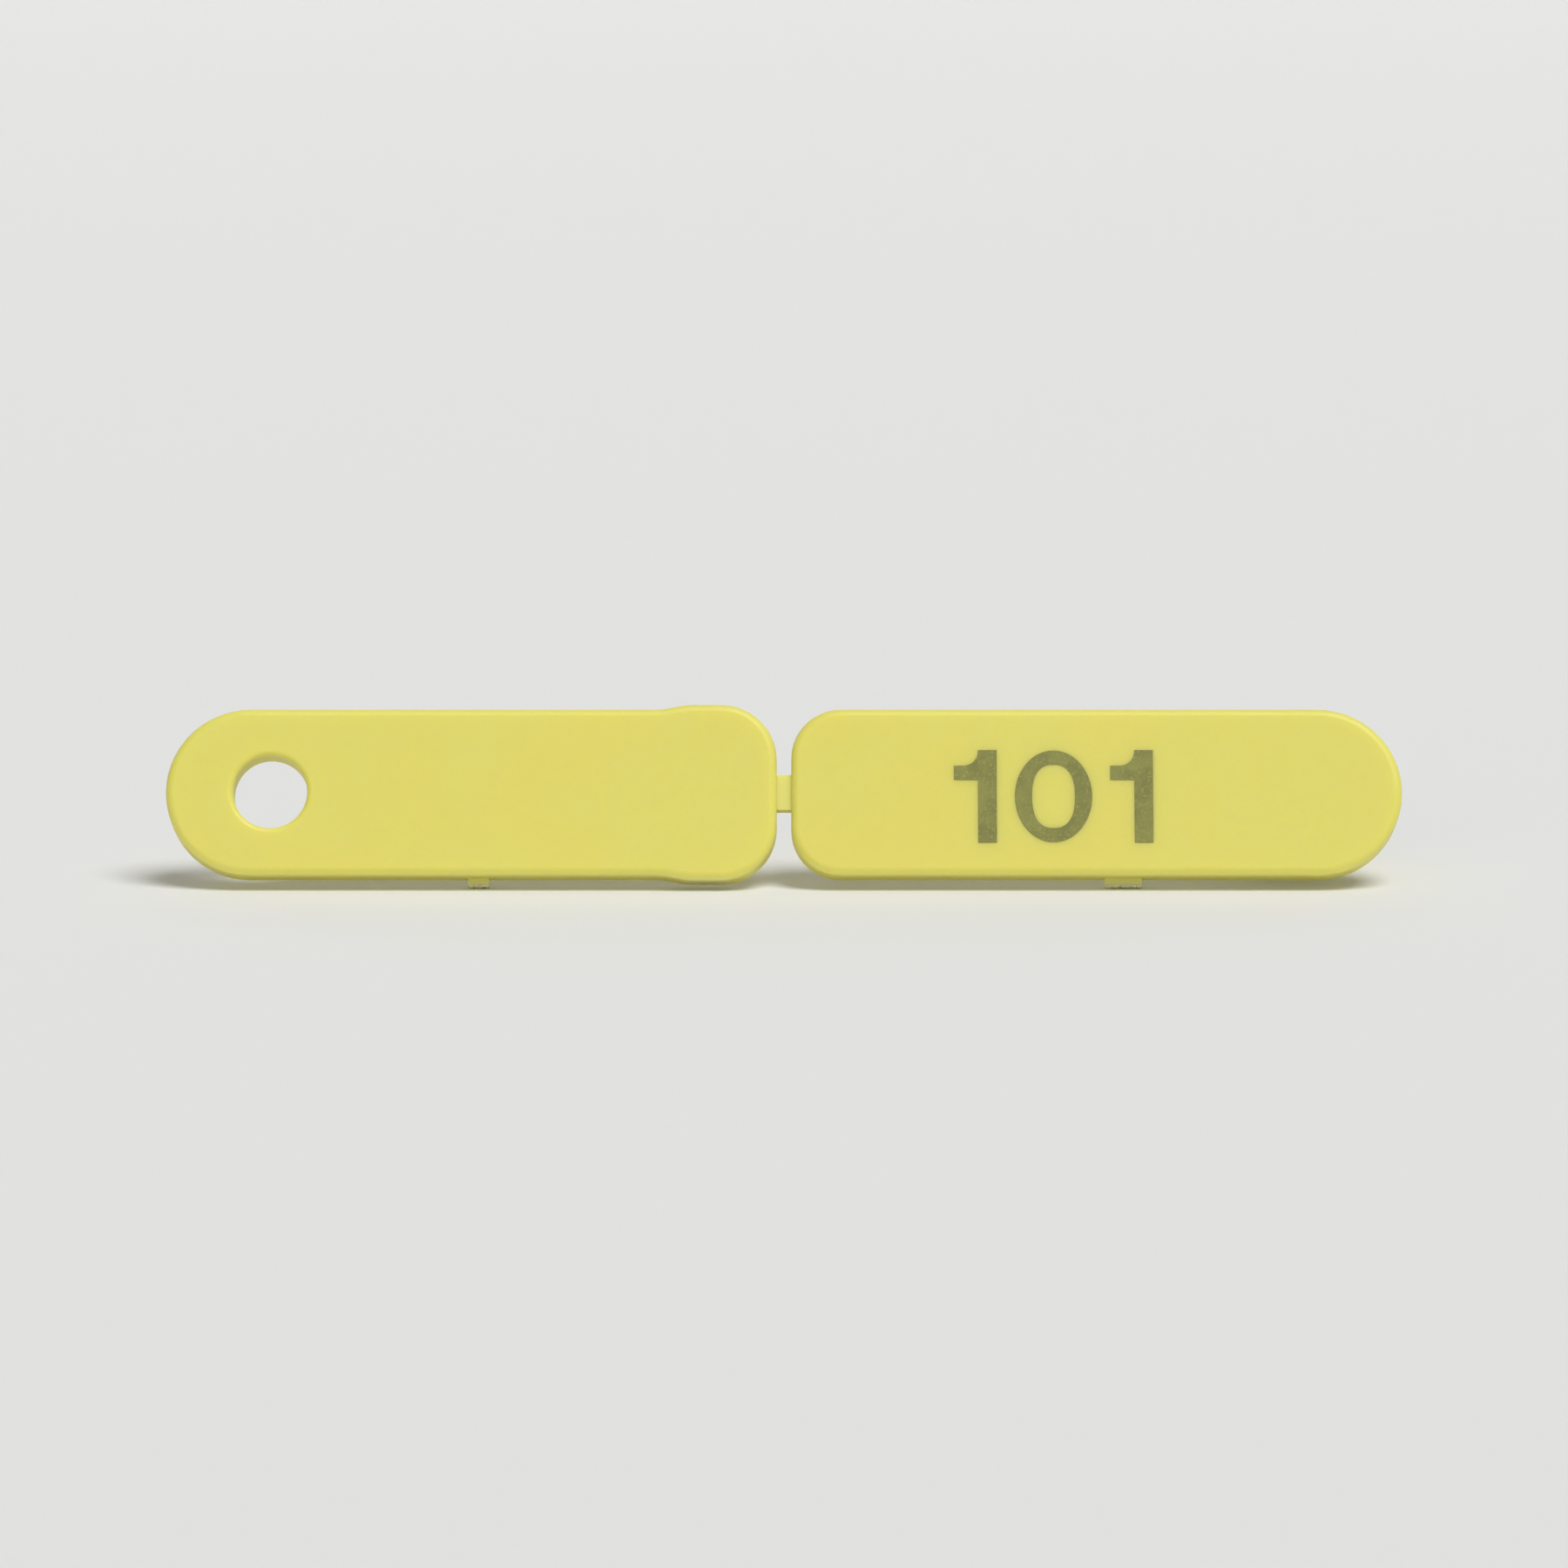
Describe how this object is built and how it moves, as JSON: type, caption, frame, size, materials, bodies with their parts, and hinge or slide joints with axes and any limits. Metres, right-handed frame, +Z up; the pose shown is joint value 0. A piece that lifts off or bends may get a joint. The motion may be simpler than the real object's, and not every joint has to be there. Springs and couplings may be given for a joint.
{
  "type": "livestock ear tag",
  "caption": "Numbered plastic ear tag for sheep and goats: a leaf with a barbed pin and a leaf with its hole, joined by a break-off tie and standing on edge and pin",
  "frame": {"origin": "the middle of the footprint, on the surface that the tag rests on", "axes": "+X runs from the hole leaf to the pin leaf, the numbered faces look towards -Y and lean back a little, +Z is up; the pin points back and down to the surface"},
  "size_m": [0.0768, 0.0162, 0.0112],
  "materials": {
    "tag_plastic": "soft yellow polyurethane, satin from a fine-blasted mould",
    "number_mark": "flat grey-olive marking"
  },
  "bodies": {
    "root": {"ear_tag": "tag_plastic"}
  },
  "joints": []
}
